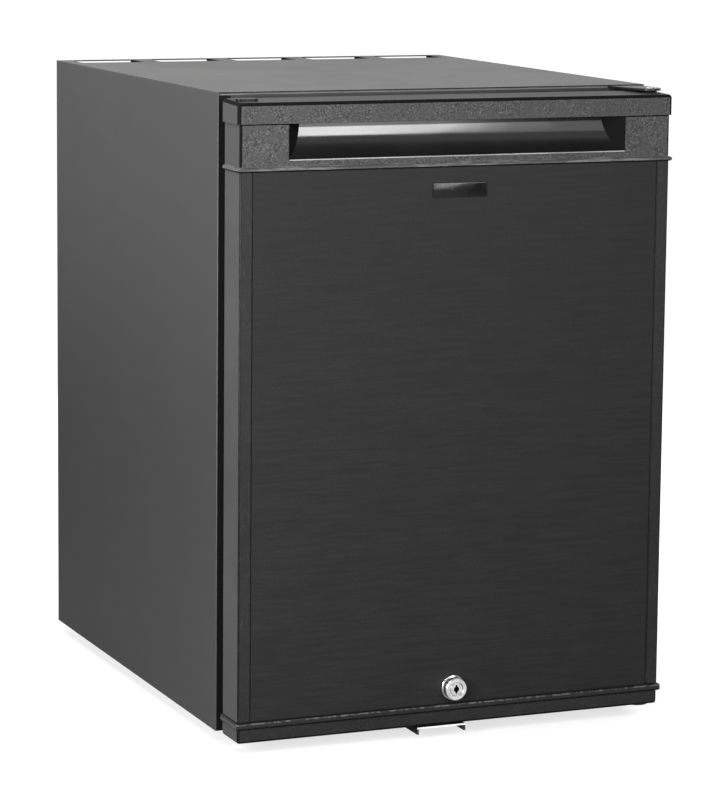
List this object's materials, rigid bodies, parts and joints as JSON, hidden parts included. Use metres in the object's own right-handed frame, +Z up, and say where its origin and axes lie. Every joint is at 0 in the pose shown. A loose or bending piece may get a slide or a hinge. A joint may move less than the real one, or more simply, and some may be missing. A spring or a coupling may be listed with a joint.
{
  "type": "minibar fridge",
  "caption": "Compact black minibar fridge with a side-hung foamed door, a scooped grip under a wide top band, a cam lock and an open rear cooling bay.",
  "frame": {"origin": "on the floor, under the middle of the whole fridge's box", "axes": "+X to the right of someone who faces the front, +Y from front to back, +Z up; the door faces -Y"},
  "size_m": [0.402, 0.506, 0.56],
  "materials": {
    "black_powder_coat": "satin",
    "black_grained_plastic": "fine grain",
    "door_panel_black": "matt",
    "liner_white": "satin",
    "foam": "matt",
    "gasket_rubber": "matt",
    "magnet_strip": "matt",
    "chrome": "polished",
    "zinc_steel": "zinc plated",
    "cast_aluminium": "satin",
    "clear_plastic": "frosted",
    "shelf_wire": "plastic coated",
    "black_nylon": "matt",
    "unit_paint": "matt"
  },
  "bodies": {
    "cabinet": {"side_panel_left": "black_powder_coat", "side_panel_right": "black_powder_coat", "top_panel": "black_powder_coat", "base_panel": "zinc_steel", "rear_bulkhead": "zinc_steel", "front_frame": "black_powder_coat", "insulation_foam": "foam", "inner_liner": "liner_white", "lower_shelf": "shelf_wire", "upper_shelf": "shelf_wire", "evaporator": "cast_aluminium", "drip_tray": "liner_white", "lamp_housing": "liner_white", "lamp_lens": "clear_plastic", "levelling_feet": "black_nylon", "top_hinge_plate": "black_powder_coat", "top_hinge_pin": "zinc_steel", "spare_nut_plate": "zinc_steel", "top_screws": "black_powder_coat", "bottom_hinge_plate": "black_powder_coat", "bottom_hinge_pin": "zinc_steel", "bottom_hinge_screws": "zinc_steel", "hinge_washer": "black_nylon", "keeper_bracket": "black_powder_coat", "keeper_screws": "zinc_steel", "boiler_casing": "zinc_steel", "condenser": "unit_paint", "absorber_coil": "unit_paint", "absorber_vessel": "unit_paint", "unit_rails": "zinc_steel", "power_module": "black_nylon", "cord_gland": "black_nylon"},
    "door": {"door_top_cap": "black_grained_plastic", "handle_moulding": "black_grained_plastic", "side_profile_left": "black_grained_plastic", "side_profile_right": "black_grained_plastic", "front_panel": "door_panel_black", "bottom_cap": "black_grained_plastic", "door_foam": "foam", "door_liner": "liner_white", "gasket": "gasket_rubber", "gasket_magnets": "magnet_strip", "lower_rack": "liner_white", "upper_rack": "liner_white", "bottle_rail": "liner_white", "top_hinge_bush": "black_nylon", "bottom_hinge_bush": "black_nylon", "spare_hinge_plug": "black_nylon", "lock_barrel": "chrome", "lock_nut": "zinc_steel"},
    "lock": {"lock_cylinder": "chrome", "lock_cam": "zinc_steel", "cam_screw": "zinc_steel"}
  },
  "joints": [
    {"name": "door_hinge", "type": "hinge", "parent": "cabinet", "child": "door", "pos_m": [0.188, -0.227, 0], "axis": [0, 0, 1], "range_deg": [0, 115]},
    {"name": "lock_turn", "type": "hinge", "parent": "door", "child": "lock", "pos_m": [0, -0.2245, 0.045], "axis": [0, -1, 0], "range_deg": [0, 90]}
  ]
}
